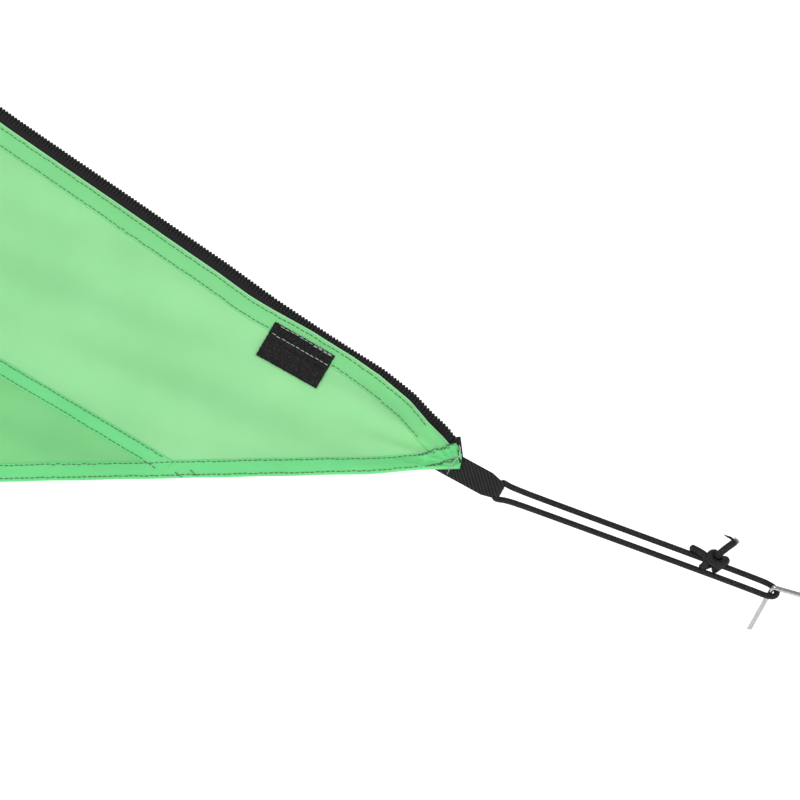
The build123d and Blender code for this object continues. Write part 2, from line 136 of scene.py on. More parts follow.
def capped_grid(rows, columns):
    """Quads round a swept ring, and a face over each end."""
    faces = grid(rows, columns, close_columns=True).tolist()
    return faces + [list(range(columns)), list(range((rows - 1) * columns, rows * columns))]


def join(parts):
    """Several (points, faces) pairs as one."""
    points, faces, start = [], [], 0
    for p, f in parts:
        points.append(np.asarray(p, float).reshape(-1, 3))
        faces += [[int(v) + start for v in face] for face in f]
        start += len(points[-1])
    return np.vstack(points), faces


def unit(v):
    v = np.asarray(v, float)
    return v / np.maximum(np.linalg.norm(v, axis=-1, keepdims=True), 1e-12)


def resample(path, step):
    """Points at even distances along a path."""
    path = np.asarray(path, float)
    far = np.concatenate([[0], np.cumsum(np.linalg.norm(np.diff(path, axis=0), axis=1))])
    count = max(2, int(round(far[-1] / step)) + 1)
    at = np.linspace(0, far[-1], count)
    return np.stack([np.interp(at, far, path[:, k]) for k in range(path.shape[1])], 1), at


def path_frames(path):
    """Tangent and two side directions along a path, carried without twist."""
    tangent = unit(np.gradient(path, axis=0))
    side = np.zeros_like(path)
    start = np.cross(tangent[0], (0.13, 0.21, 0.97))
    side[0] = unit(start)
    for i in range(1, len(path)):
        carried = side[i - 1] - tangent[i] * (side[i - 1] @ tangent[i])
        side[i] = unit(carried)
    return tangent, side, np.cross(tangent, side)


def tube(path, radius, sides):
    """A capped tube. radius has one value per point, or one per point and side."""
    tangent, side, up = path_frames(path)
    angle = np.linspace(0, 2 * pi, sides, endpoint=False)
    radius = radius.reshape(len(path), -1)
    ring = side[:, None] * np.cos(angle)[None, :, None] + up[:, None] * np.sin(angle)[None, :, None]
    points = path[:, None] + ring * radius[:, :, None]
    faces = grid(len(path), sides, close_columns=True).tolist()
    points = points.reshape(-1, 3)
    bulge = 0.6 * radius.mean()
    ends = np.array([path[0] - tangent[0] * bulge, path[-1] + tangent[-1] * bulge])
    first, last = len(points), len(points) + 1
    start = (len(path) - 1) * sides
    faces += [[first, (k + 1) % sides, k] for k in range(sides)]
    faces += [[last, start + k, start + (k + 1) % sides] for k in range(sides)]
    return np.vstack([points, ends]), faces


def spline_path(points, order=3, detail=24):
    """The points of a NURBS spline whose control points are the route's points."""
    curve = bpy.data.curves.new("route", "CURVE")
    curve.dimensions = "3D"
    spline = curve.splines.new("NURBS")
    spline.points.add(len(points) - 1)
    for knot_point, p in zip(spline.points, points):
        knot_point.co = (*p, 1)
    spline.order_u = order
    spline.use_endpoint_u = True
    spline.resolution_u = detail
    holder = new_object("route", curve)
    mesh = bpy.data.meshes.new_from_object(holder)
    path = np.array([v.co for v in mesh.vertices], float)
    bpy.data.objects.remove(holder)
    bpy.data.meshes.remove(mesh)
    return path


# ---------------------------------------------------------------- materials
class Shader:
    """A Principled material and a few shorthands for the nodes in front of it."""

    def __init__(self, name, **values):
        self.material = bpy.data.materials.new(name)
        self.material.use_nodes = True
        tree = self.material.node_tree
        self.nodes = tree.nodes
        self.links = tree.links
        self.surface = self.nodes["Principled BSDF"]
        for socket, value in values.items():
            self.surface.inputs[socket.replace("_", " ")].default_value = value

    def add(self, kind, **settings):
        node = self.nodes.new(kind)
        for key, value in settings.items():
            if hasattr(node, key):
                setattr(node, key, value)
            else:
                node.inputs[key.replace("_", " ")].default_value = value
        return node

    def place(self, cut=False):
        """Coordinates in metres: on the flat cut, or in the row frame."""
        if cut:
            return self.add("ShaderNodeAttribute", attribute_name="cut").outputs["Vector"]
        return self.add("ShaderNodeTexCoord").outputs["Object"]

    def noise(self, where, scale, detail=3.0, roughness=0.5):
        node = self.add("ShaderNodeTexNoise", Scale=scale, Detail=detail, Roughness=roughness)
        self.links.new(where, node.inputs["Vector"])
        return node.outputs["Fac"]

    def bands(self, where, axis, pitch, distortion=0.0):
        """Soft stripes that repeat every pitch metres."""
        node = self.add("ShaderNodeTexWave", bands_direction=axis, wave_profile="SIN",
                        Scale=2 * pi / 20 / pitch, Distortion=distortion)
        self.links.new(where, node.inputs["Vector"])
        return node.outputs["Fac"]

    def math(self, operation, a, b):
        node = self.add("ShaderNodeMath", operation=operation)
        for k, value in enumerate((a, b)):
            if isinstance(value, (int, float)):
                node.inputs[k].default_value = value
            else:
                self.links.new(value, node.inputs[k])
        return node.outputs[0]

    def ramp(self, value, *stops):
        node = self.add("ShaderNodeValToRGB")
        while len(node.color_ramp.elements) < len(stops):
            node.color_ramp.elements.new(0.5)
        for element, (at, colour) in zip(node.color_ramp.elements, stops):
            element.position = at
            element.color = (*colour, 1)
        self.links.new(value, node.inputs["Fac"])
        return node.outputs["Color"]

    def span(self, value, low, high):
        node = self.add("ShaderNodeMapRange")
        node.inputs["To Min"].default_value = low
        node.inputs["To Max"].default_value = high
        self.links.new(value, node.inputs["Value"])
        return node.outputs["Result"]

    def colour(self, socket):
        self.links.new(socket, self.surface.inputs["Base Color"])

    def roughness(self, socket):
        self.links.new(socket, self.surface.inputs["Roughness"])

    def bump(self, *layers):
        """Each layer is a height and its depth in metres."""
        normal = None
        for height, depth in layers:
            node = self.add("ShaderNodeBump", Distance=depth)
            self.links.new(height, node.inputs["Height"])
            if normal:
                self.links.new(normal, node.inputs["Normal"])
            normal = node.outputs["Normal"]
        self.links.new(normal, self.surface.inputs["Normal"])


def cloth_material(name, light, deep):
    """Thin coated plain weave: fine threads, slow shifts of tone that are painted light, standing
    in for uneven light shining through the cloth, and a satin finish.
    """
    s = Shader(name, Sheen_Weight=0.25, Sheen_Roughness=0.45, Specular_IOR_Level=0.35)
    where = s.place(cut=True)
    # Slow patches of painted light and shade, for light shining through the cloth unevenly.
    slow_painted_light = s.noise(where, 7.0, 2.0)
    cloudy = s.noise(where, 38.0, 3.0)
    tone = s.math("ADD", s.math("MULTIPLY", slow_painted_light, 0.75), s.math("MULTIPLY", cloudy, 0.25))
    s.colour(s.ramp(tone, (0.34, deep), (0.66, light)))
    s.roughness(s.span(cloudy, 0.42, 0.56))
    weave = s.math("ADD", s.bands(where, "X", 0.00055), s.bands(where, "Y", 0.00055))
    crinkle = s.noise(where, 260.0, 4.0, 0.6)
    s.bump((crinkle, 0.00012), (weave, 0.00002))
    return s.material


def webbing_material(name, colour, glint_colour, sheen=0.3, twill=None, low=0.3, high=0.85):
    s = Shader(name, Sheen_Weight=sheen, Sheen_Roughness=0.4, Specular_IOR_Level=0.35)
    where = s.place(cut=True)
    fuzz = s.noise(where, 900.0, 3.0)
    if twill:
        lines = s.math("MULTIPLY", s.bands(where, "DIAGONAL", twill, 0.6), 0.6)
        fuzz = s.math("ADD", lines, s.math("MULTIPLY", fuzz, 0.5))
    # The ramp's lighter end is painted highlight: glints on the fibres, speckled by the fuzz noise
    # and, on twill, along its lines.
    s.colour(s.ramp(fuzz, (low, colour), (high, glint_colour)))
    s.roughness(s.span(fuzz, 0.55, 0.8))
    threads = s.bands(where, "X", 0.0005, 1.0)
    s.bump((threads, 0.00005), (fuzz, 0.00006))
    return s.material


def plastic_material(name, colour, low, high, grain, depth):
    s = Shader(name, Specular_IOR_Level=0.5)
    where = s.place()
    fine = s.noise(where, grain, 3.0)
    worn = s.noise(where, grain / 12, 4.0, 0.65)
    edge = tuple(min(1, c * 1.6 + 0.002) for c in colour)
    s.colour(s.ramp(worn, (0.35, colour), (0.75, edge)))
    s.roughness(s.span(fine, low, high))
    s.bump((fine, depth))
    return s.material


def metal_material(name, colour, low, high):
    """Metal with fine streaks drawn out along Z."""
    s = Shader(name, Metallic=1.0, Specular_IOR_Level=0.5)
    mapping = s.add("ShaderNodeMapping")
    mapping.inputs["Scale"].default_value = (900.0, 900.0, 25.0)
    s.links.new(s.place(), mapping.inputs["Vector"])
    streaks = s.noise(mapping.outputs["Vector"], 1.0, 3.0)
    dull = tuple(c * 0.72 for c in colour)
    s.colour(s.ramp(streaks, (0.25, dull), (0.7, colour)))
    s.roughness(s.span(streaks, low, high))
    s.bump((streaks, 0.00002))
    return s.material


# One fabric in two copies with painted light: the front strip's lighter green and the main panel's
# darker green stand in for the light shining through each panel, not a difference in the cloth.
cloth_lit = cloth_material("cloth_front", (0.335, 0.80, 0.355), (0.265, 0.715, 0.285))
cloth_main = cloth_material("cloth_main", (0.235, 0.70, 0.265), (0.185, 0.62, 0.215))
# Painted shade: the doubled hems, seams, bindings, patches and the zip-side hem get a deeper green
# that stands in for less light passing through two layers of cloth.
cloth_double_shade = cloth_material("cloth_hem_shade", (0.195, 0.80, 0.29), (0.145, 0.70, 0.225))
cloth_band_shade = cloth_material("cloth_zip_hem_shade", (0.245, 0.77, 0.295), (0.195, 0.69, 0.24))
# Painted highlight: a paler green for the rounded fold along the zipper hem, standing in for the
# light the fold catches.
cloth_edge_highlight = cloth_material("cloth_fold_painted_highlight", (0.42, 0.86, 0.45), (0.36, 0.80, 0.39))
thread_dark = webbing_material("thread_dark", (0.055, 0.105, 0.055), (0.12, 0.17, 0.10))
thread_pale = webbing_material("thread_pale", (0.42, 0.42, 0.42), (0.72, 0.72, 0.74))
ink = (0.0012, 0.0012, 0.0014)
# Painted highlights: the lighter second colour of the webbing, cord and hook tape stands in for
# glints on their fibres.
black_webbing = webbing_material("black_webbing", ink, (0.045, 0.045, 0.047), 0.02,
                                 twill=0.0014, low=0.50, high=0.98)
black_tape = webbing_material("black_tape", (0.0035, 0.0035, 0.0042), (0.013, 0.012, 0.015), 0.02)
black_cord = webbing_material("black_cord", ink, (0.035, 0.035, 0.036), 0.02, low=0.45, high=0.75)
fibre_grey = webbing_material("fibre_grey", (0.16, 0.16, 0.16), (0.5, 0.5, 0.5))
hook_black = webbing_material("hook_tape", (0.0012, 0.0012, 0.0018), (0.060, 0.056, 0.064), 0.02,
                              low=0.52, high=0.78)
coil_black = plastic_material("coil_nylon", (0.003, 0.003, 0.0035), 0.30, 0.42, 2600.0, 0.00001)
enamel = plastic_material("slider_enamel", (0.015, 0.015, 0.016), 0.25, 0.42, 700.0, 0.00003)
moulded = plastic_material("moulded_nylon", (0.02, 0.02, 0.022), 0.38, 0.55, 1600.0, 0.00003)
rubber = plastic_material("foot_rubber", (0.018, 0.018, 0.018), 0.62, 0.8, 900.0, 0.00006)
steel = metal_material("peg_steel", (0.52, 0.52, 0.53), 0.12, 0.26)
anodised = metal_material("pole_alloy", (0.50, 0.51, 0.53), 0.28, 0.42)


# ---------------------------------------------------------------- camera, light, floor
corner = Vector((half_length, -half_width, hem_height))
camera_azimuth = radians(-3)
camera_elevation = radians(22)
camera_distance = 2.5
view_width = 0.496
shown_offset = (-0.0378, 0.0419)


def aimed(name, data, place, back):
    """A camera or a light at a place, looking the opposite way to back."""
    made = new_object(name, data)
    made.location = place
    made.rotation_mode = "QUATERNION"
    made.rotation_quaternion = back.to_track_quat("Z", "Y")
    return made


def add_camera():
    a, e = camera_azimuth, camera_elevation
    back = Vector((sin(a) * cos(e), -cos(a) * cos(e), sin(e)))
    right = Vector((cos(a), sin(a), 0))
    up = back.cross(right)
    data = bpy.data.cameras.new("camera")
    data.sensor_width = 36
    data.lens = 36 * camera_distance / view_width
    data.clip_start = 0.05
    data.clip_end = 60
    middle = corner + right * shown_offset[0] + up * shown_offset[1]
    place = middle + back * camera_distance
    bpy.context.scene.camera = aimed("camera", data, place, back)


def add_light(name, place, target, size, power):
    data = bpy.data.lights.new(name, "AREA")
    data.shape = "DISK"
    data.size = size
    data.energy = power
    aimed(name, data, place, Vector(place) - Vector(target))


def add_studio():
    scene = bpy.context.scene
    scene.view_settings.view_transform = "Standard"
    world = bpy.data.worlds.new("studio")
    world.use_nodes = True
    world.node_tree.nodes["Background"].inputs["Color"].default_value = (1, 1, 1, 1)
    world.node_tree.nodes["Background"].inputs["Strength"].default_value = 0.5
    scene.world = world
    add_light("key", (-2.6, -4.6, 5.2), (0.6, -0.4, 0.4), 2.2, 132)
    add_light("fill", (4.5, -3.2, 2.4), (0.9, -0.4, 0.3), 2.5, 36)
    add_light("back", (1.0, 4.8, 4.2), (0.4, 0.0, 0.5), 2.5, 60)
    s = Shader("floor_paint", Roughness=0.75, Specular_IOR_Level=0.2)
    tone = s.noise(s.place(), 1.4, 2.0)
    s.colour(s.ramp(tone, (0.3, (0.86, 0.86, 0.86)), (0.7, (0.88, 0.88, 0.88))))
    s.surface.inputs["Emission Color"].default_value = (1, 1, 1, 1)
    s.surface.inputs["Emission Strength"].default_value = 0.6
    reach = 40.0
    rows = 9
    flat = np.stack(np.meshgrid(*[np.linspace(-reach, reach, rows)] * 2), -1).reshape(-1, 2)
    floor = piece("floor", np.c_[flat, np.zeros(len(flat))], grid(rows, rows), s.material)


# ---------------------------------------------------------------- tie-out planes
near_x = np.array([1.0, 0, 0])
near_up = np.array([0, half_width, apex_height - hem_height]) / slant
near_out = np.cross(near_x, near_up)


def tie_out_plane(place):
    """Origin and axes of the plane that a tie-out is laid out in, before it is mirrored."""
    if "middle" not in place:
        return np.array(corner), near_x, near_up, near_out
    pull = np.array([0, -cos(middle_pull_down), -sin(middle_pull_down)])
    out = np.array([0, -sin(middle_pull_down), cos(middle_pull_down)])
    x_dir = pull * cos(pull_turn) + near_x * sin(pull_turn)
    return np.array([0, -half_width, hem_height]), x_dir, np.cross(out, x_dir), out


def set_out(place, points):
    """Points of a tie-out's own plane, in the row frame at that place."""
    origin, x_dir, y_dir, out = tie_out_plane(place)
    points = np.asarray(points, float)
    world = origin + points[:, :1] * x_dir + points[:, 1:2] * y_dir + points[:, 2:] * out
    return world * np.array([*places[place], 1.0])


def turned(faces, place):
    """Faces with their winding reversed where the place is a mirror image."""
    flip = places[place][0] * places[place][1] < 0
    return [face[::-1] for face in faces] if flip else faces


# ---------------------------------------------------------------- cords and knots
# The loop's route, from the webbing's fold round the peg and back, in the tie-out's plane.
corner_route = [
    (0.02262, -0.01378), (0.02530, -0.00915), (0.02730, -0.01020), (0.03150, -0.01290),
    (0.05190, -0.02140), (0.17720, -0.07140), (0.19470, -0.07950), (0.19190, -0.08640),
    (0.17450, -0.07870), (0.04890, -0.02880), (0.02830, -0.02090), (0.02220, -0.02010),
    (0.01975, -0.01880), (0.02238, -0.01422),
]
middle_route = [
    (0.02262, -0.01378), (0.02530, -0.00915), (0.02730, -0.01010), (0.03160, -0.01270),
    (0.05210, -0.02100), (0.17790, -0.06920), (0.19560, -0.07690), (0.19290, -0.08390),
    (0.17520, -0.07650), (0.04920, -0.02840), (0.02840, -0.02070), (0.02220, -0.02000),
    (0.01975, -0.01880), (0.02238, -0.01422),
]
# Knot, seen along the loop: x from the webbing to the peg, y across it, z outward.
knot_at = 0.1400
knot_turn = radians(-21.35)
knot_route = [
    (-0.0150, 0.0068, 0.0016), (-0.0100, 0.0062, 0.0022), (-0.0045, 0.0050, 0.0034),
    (-0.0028, 0.0010, 0.0042), (-0.0045, -0.0022, 0.0020), (-0.0050, -0.0020, -0.0022),
    (-0.0010, 0.0010, -0.0042), (0.0030, 0.0055, -0.0040), (0.0072, 0.0082, -0.0010),
    (0.0086, 0.0060, 0.0030), (0.0058, 0.0027, 0.0052), (0.0022, 0.0012, 0.0060),
    (-0.0022, 0.0024, 0.0062), (-0.0036, 0.0060, 0.0050), (-0.0006, 0.0092, 0.0022),
    (0.0018, 0.0084, -0.0010), (0.0010, 0.0050, 0.0040), (0.0020, 0.0080, 0.0062),
    (0.0052, 0.0132, 0.0060), (0.0090, 0.0186, 0.0056),
]
knot_wrap = [
    (0.0020, 0.0008, 0.0020), (0.0052, 0.0006, 0.0036), (0.0074, 0.0040, 0.0040),
    (0.0078, 0.0078, 0.0006), (0.0070, 0.0060, -0.0034), (0.0050, 0.0012, -0.0034),
    (0.0030, -0.0012, -0.0002),
]
# A few black strands that stick out sideways from the cut end
cut_wisp = [
    (0.0085, 0.0186, 0.0060), (0.0062, 0.0202, 0.0064), (0.0034, 0.0200, 0.0066),
    (0.0010, 0.0206, 0.0062),
]


# Braid, with half of its strands turning each way
strands = 8
strand_depth = 0.085
braid_lay = 0.0088


def braid(path, radius, sides, step=0.0005):
    """A braided sheath: two crossing sets of strands that go over and under each other."""
    path, along = resample(path, step)
    angle = np.linspace(0, 2 * pi, sides, endpoint=False)[None, :]
    twist = 2 * pi * along[:, None] / braid_lay
    left = np.sin(strands / 2 * (angle + twist))
    right = np.sin(strands / 2 * (angle - twist))
    over = np.sin(strands / 2 * angle) * np.sin(strands / 2 * twist)
    height = np.where(over > 0, np.abs(left), np.abs(right))
    return tube(path, radius * (1 + strand_depth * (height - 0.75)), sides)


def tapered(points, radii, sides=8, step=0.0005):
    """A round thread through a few points, its radius changing evenly along it."""
    path, along = resample(spline_path(points, 3, 8), step)
    share = np.linspace(0, 1, len(radii))
    return tube(path, np.interp(along / along[-1], share, radii), sides)


def flat_path(points):
    return [(x, y, tie_out_depth) for x, y in points]


def knot_points(points):
    """Points given along the loop at the knot, in the tie-out's plane."""
    points = np.asarray(points, float)
    x = knot_at + points[:, 0]
    y = points[:, 1]
    c, s = cos(knot_turn), sin(knot_turn)
    return np.stack([bore_at[0] + x * c - y * s, bore_at[1] + x * s + y * c,
                     tie_out_depth + points[:, 2]], 1)


def frayed_end(at, direction, count, length, spread):
    """A tuft of short fibres at a cut end."""
    direction = unit(direction)
    parts = []
    for _ in range(count):
        lean = rng.normal(size=3) * spread
        root = at + np.cross(direction, rng.normal(size=3)) * 0.0008
        tip = root + (direction + lean) * length * rng.uniform(0.5, 1.1)
        bend = (root + tip) / 2 + rng.normal(size=3) * length * 0.08
        parts.append(tapered([root, bend, tip], [0.0001, 0.00006], 4, length / 4))
    return join(parts)


def placed(name, place, shape, material, slot, *nodes):
    """A piece laid out in the tie-out's plane, set out at one place."""
    shape = set_out(place, shape[0]), turned(shape[1], place), *shape[2:]
    return shown(f"{name}_{place}", shape, material, "shelter", slot, *nodes)


def add_cords():
    routes = {"corner": corner_route, "middle": middle_route}
    paths = {kind: spline_path(flat_path(route)) for kind, route in routes.items()}
    knot_path = knot_points(spline_path(knot_route, 4, 12))
    wrap_path = knot_points(spline_path(knot_wrap, 4, 12))
    tail_way = knot_path[-1] - knot_path[-4]
    tuft_at = knot_path[-1] + unit(tail_way) * 0.0004
    wisp = tapered(knot_points(cut_wisp), [0.0010, 0.0009, 0.0007, 0.0002])
    knot_shape = join([braid(knot_path, 0.00225, 30), braid(wrap_path, 0.0022, 26), wisp])
    tuft_shape = join([
        frayed_end(tuft_at, tail_way, 150, 0.0019, 0.16),
        frayed_end(knot_path[0], knot_path[0] - knot_path[3], 40, 0.0010, 0.2),
    ])
    for place in places:
        path = paths["middle" if "middle" in place else "corner"]
        sides, step = (40, 0.0004) if place == "near_front" else (24, 0.0007)
        sheath = braid(path, 1.06 * cord_diameter / 2, sides, step)
        cord = placed("shock_cord", place, sheath, black_cord, "cord", f"cord_{place}")
        knot = placed("cord_knot", place, knot_shape, black_cord, "cord", f"knot_{place}")
        tuft = placed("cut_end", place, tuft_shape, fibre_grey, "cord")


# ---------------------------------------------------------------- walls
near_corner = np.array(corner)
zip_start = np.array(zip_end)
zip_chord = np.array([-half_length, slant]) - zip_start
zip_reach = np.linalg.norm(zip_chord)
zip_radius = zip_reach**2 / (8 * zip_sag) + zip_sag / 2
zip_out = np.array([zip_chord[1], -zip_chord[0]]) / zip_reach
zip_centre = zip_start + zip_chord / 2 + zip_out * (zip_radius - zip_sag)
zip_first_angle = atan2(*(zip_start - zip_centre)[::-1])
zip_length = 2 * zip_radius * atan2(zip_reach / 2, zip_radius - zip_sag)
zip_top = zip_length - zip_top_gap
seam_way = np.array([-cos(seam_angle), sin(seam_angle)])
seam_side = np.array([sin(seam_angle), cos(seam_angle)])
seam_length = 1.946
front_ridge = np.array([-half_length, slant])
front_ridge_length = np.hypot(half_length, slant)
cloth_thick = 0.0006

# How the cloth departs from its flat panels
wall_sag, sag_reach = 0.016, 0.3
zip_wave_height, zip_wave_pitch = 0.0026, 0.078
ripple_height, ripple_pitch = 0.0009, 0.031
crease_height, crease_from_corner, crease_spread = 0.0012, 0.05, 0.045
hem_wave_height, hem_wave_pitch = 0.0006, 0.043
hem_hang, hem_fade = 0.0022, 0.02
rear_wave_height, rear_wave_pitch = 0.0012, 0.21
pucker_pitch = 0.0064
hem_pucker, seam_pucker = 0.00007, 0.00008
ridge_pucker, ridge_pucker_pitch = 0.0001, 0.007

# Stitch rows and folded edges
hem_rows_at = (0.0084, 0.0010)
hem_stitch_lift = 0.0006
seam_rows_at = (0.0038, -0.0038)
zip_hem_rows_at = (0.0025, 0.0118)
zip_hem_width = 0.0132
seam_width = 0.0104


def smooth(v):
    v = np.clip(v, 0, 1)
    return v * v * (3 - 2 * v)


def zip_pull_in(t):
    """How far the slack zipper lies inside its drawn arc near the corner."""
    at = [0, 0.005, 0.018, 0.035, 0.06, 0.1, 0.14, 0.18, 0.26, 0.34]
    return np.interp(t, at, [0.0068, 0.0050, 0.0026, -0.0014, -0.0030, -0.0018, -0.0012,
                             -0.0021, -0.0014, 0])


def zip_line(t, a):
    """A place on the wall: so far up the zipper, so far in from its outer edge."""
    t, a = np.broadcast_arrays(t, a)
    angle = zip_first_angle - t / zip_radius
    reach = zip_radius + a + zip_pull_in(t)
    return np.stack([zip_centre[0] + reach * np.cos(angle),
                     zip_centre[1] + reach * np.sin(angle)], -1)


def fold_in(t):
    """The folded cloth edge's distance from the zipper's outer edge."""
    at = [-0.01, 0.018, 0.048, 0.080, 0.110, 0.155]
    return np.interp(t, at, [0.0070, 0.0075, 0.0060, 0.0046, 0.0052, 0.0091])


def fold_line(t, a):
    t, a = np.broadcast_arrays(t, a)
    return zip_line(t, a + fold_in(t))


def straight(start, way, inward):
    start, way, inward = (np.array(v, float) for v in (start, way, inward))

    def place(t, a):
        t, a = np.broadcast_arrays(t, a)
        return start + t[..., None] * way + a[..., None] * inward
    return place


def row_between(start, stop):
    """A straight row from one place on the wall to another, and its length."""
    start, stop = np.array(start), np.array(stop)
    way = unit(stop - start)
    return straight(start, way, (-way[1], way[0])), np.linalg.norm(stop - start)


def wall(flat, lift, side=1, end=1):
    """Wall coordinates to the row frame, with the cloth's sag, waves and creases."""
    flat = np.asarray(flat, float)
    x, y = flat[..., 0], flat[..., 1]
    dx, dy = x - zip_centre[0], y - zip_centre[1]
    inset = np.hypot(dx, dy) - zip_radius
    along = (zip_first_angle - np.arctan2(dy, dx)) * zip_radius
    from_ridge = ((x + 2 * half_length) * slant - y * half_length) / front_ridge_length
    middle = smooth(inset / sag_reach) * smooth(y / sag_reach) * smooth(from_ridge / sag_reach)
    relief = -wall_sag * middle
    near = np.exp(-((along - 0.05) / 0.33) ** 2)
    waves = zip_wave_height * np.sin(2 * pi * inset / zip_wave_pitch + 0.5)
    relief = relief + waves * smooth(inset / 0.035) * near * smooth(y / 0.03)
    ripples = ripple_height * np.sin(2 * pi * (inset * 0.9 - along * 0.25) / ripple_pitch)
    relief = relief + ripples * smooth(inset / 0.03) * near * smooth(y / 0.02)
    r = np.hypot(x, y)
    turn = np.arctan2(y, np.maximum(-x, 1e-6))
    creases = crease_height * np.sin(turn * 21 + 0.8)
    relief = relief + creases * np.exp(-((r - crease_from_corner) / crease_spread) ** 2)
    hem_waves = hem_wave_height * np.sin(2 * pi * x / hem_wave_pitch + 1)
    relief = relief + hem_waves * np.exp(-y / hem_fade) * smooth((-x - 0.03) / 0.05)
    drop = smooth((-x - 0.02) / 0.04) * smooth((x + 2 * half_length - 0.02) / 0.04)
    y = y - hem_hang * drop * np.exp(-np.maximum(y, 0) / hem_fade)
    z = lift + relief
    world = near_corner + x[..., None] * near_x + y[..., None] * near_up + z[..., None] * near_out
    return world * np.array([end, side, 1.0])


rear_run = np.hypot(half_length, apex_height - hem_height)
rear_up = np.array([half_length, 0, apex_height - hem_height]) / rear_run
rear_out = np.array([hem_height - apex_height, 0, half_length]) / rear_run


def rear(flat, lift, *_):
    """The rear wall's coordinates, x across it and y up it, to the row frame, unmirrored."""
    flat = np.asarray(flat, float)
    x, y = flat[..., 0], flat[..., 1]
    edge = half_width * (1 - y / rear_run) - np.abs(x)
    relief = -wall_sag * smooth(edge / sag_reach) * smooth(y / sag_reach)
    waves = rear_wave_height * np.sin(2 * pi * x / rear_wave_pitch + y * 9)
    relief = relief + waves * smooth(edge / 0.1) * smooth(y / 0.1)
    z = lift + relief
    return (np.array([-half_length, 0, hem_height]) + x[..., None] * np.array([0, -1.0, 0])
            + y[..., None] * rear_up + z[..., None] * rear_out)


def laid(place, t, section, surface=wall, side=1, end=1, pucker=0.0):
    """A closed section of (across, lift) points swept along a line on a wall."""
    across, lift = np.asarray(section, float).T[:, None]
    t = np.asarray(t, float)[:, None]
    wave = pucker * np.sin(2 * pi * t / pucker_pitch + 9 * across / 0.004)
    flat = place(t, across)
    points = surface(flat, lift + wave * (lift > 0.0002), side, end)
    return points.reshape(-1, 3), capped_grid(*flat.shape[:2]), flat.reshape(-1, 2)


def folded_strip(width, low=-0.00002, high=0.0005, swell=0.00018):
    """A flat folded strip's section: round edges, and a top that swells between its rows."""
    across = np.array([0.02, 0.0, 0.035, 0.12, 0.3, 0.5, 0.7, 0.88, 0.965, 1.0, 0.98])
    rise = np.array([0, 0.55, 0.95, 1.0, 1.0, 1.0, 1.0, 1.0, 0.95, 0.55, 0])
    dome = swell * np.sin(np.clip((across - 0.12) / 0.76, 0, 1) * pi) ** 2
    return np.stack([across * width, low + (high - low) * rise + dome], 1)


def join_cut(parts):
    points, faces = join([part[:2] for part in parts])
    return points, faces, np.vstack([part[2] for part in parts])


def stitches(place, across, start, stop, surface=wall, side=1, pitch=0.0032,
             length=0.0027, radius=0.00023, lift=0.00072, wander=0.00012):
    """A row of sewn stitches, each a short arched thread."""
    count = max(1, int((stop - start) / pitch))
    middle = start + (np.arange(count) + 0.5) * pitch + rng.normal(size=count) * pitch * 0.04
    drift = across + rng.normal(size=count) * wander
    along = np.array([-0.5, -0.42, -0.2, 0.2, 0.42, 0.5]) * length
    height = lift + radius * np.array([-2.4, -0.2, 0.7, 0.7, -0.2, -2.4])
    size = radius * np.array([0.4, 0.9, 1, 1, 0.9, 0.4])
    sides = 6
    angle = np.linspace(0, 2 * pi, sides, endpoint=False)
    t = middle[:, None, None] + along[None, :, None]
    a = drift[:, None, None] + size[None, :, None] * np.cos(angle)
    z = height[None, :, None] + size[None, :, None] * np.sin(angle)
    flat = place(t, a)
    each = len(along) * sides
    quads = grid(len(along), sides, close_columns=True)
    faces = (quads[None] + np.arange(count)[:, None, None] * each).reshape(-1, 4).tolist()
    for base in range(0, count * each, each):
        faces.append(list(range(base, base + sides)))
        faces.append(list(range(base + each - sides, base + each)))
    return surface(flat, z, side).reshape(-1, 3), faces, flat.reshape(-1, 2)


def add_fold(name, line, t, section, *nodes, material=cloth_double_shade, **settings):
    """A folded edge or band of cloth, laid along a line on a wall."""
    return cloth_piece(name, laid(line, t, section, **settings), material, *nodes)


def add_stitches(name, line, rows_at, start, stop, **settings):
    """Rows of dark stitches along a line, so far across it."""
    rows = [stitches(line, across, start, stop, **settings) for across in rows_at]
    return cloth_piece(name, join_cut(rows), thread_dark)


def cloth_between(first, last, rows, surface=wall, side=1, bulge=None):
    """A sheet ruled between two lines of wall coordinates."""
    share = np.linspace(0, 1, rows)[None, :, None]
    flat = first[:, None] * (1 - share) + last[:, None] * share
    if bulge is not None:
        flat[..., 0] += bulge[:, None] * np.sin(pi * share[..., 0]) ** 0.8
    points = surface(flat, -cloth_thick / 2, side)
    return points.reshape(-1, 3), grid(*flat.shape[:2]), flat.reshape(-1, 2)


def solid_sheet(made, thick):
    modifier = made.modifiers.new("thickness", "SOLIDIFY")
    modifier.thickness = thick
    modifier.offset = 0


def finer_near_start(length, fine_to, fine_step, coarse_step):
    fine = np.arange(0, fine_to, fine_step)
    coarse = np.linspace(fine_to, length, int((length - fine_to) / coarse_step) + 2)
    return np.concatenate([fine, coarse])


hem_line = straight((-0.0006, 0), (-1, 0), (0, 1))
seam_line = straight((-seam_start, 0), seam_way, seam_side)
hem_run = 2 * half_length - 0.006
hem_steps = finer_near_start(hem_run, 0.36, 0.003, 0.03)
seam_steps = finer_near_start(seam_length, 0.2, 0.003, 0.03)
hem_section = [(0.0097, -0.00002), (0.0096, 0.0003), (0.0092, 0.00052), (0.0084, 0.00042),
               (0.0065, 0.00062), (0.0042, 0.00068), (0.0022, 0.0006), (0.0010, 0.00044),
               (0.0002, 0.0005), (-0.0005, 0.0003), (-0.0008, -0.0003), (-0.0005, -0.0009),
               (0.0002, -0.0011), (0.0012, -0.0009), (0.0013, -0.0003)]
rear_hem_line = straight((-half_width + 0.003, 0), (1, 0), (0, 1))


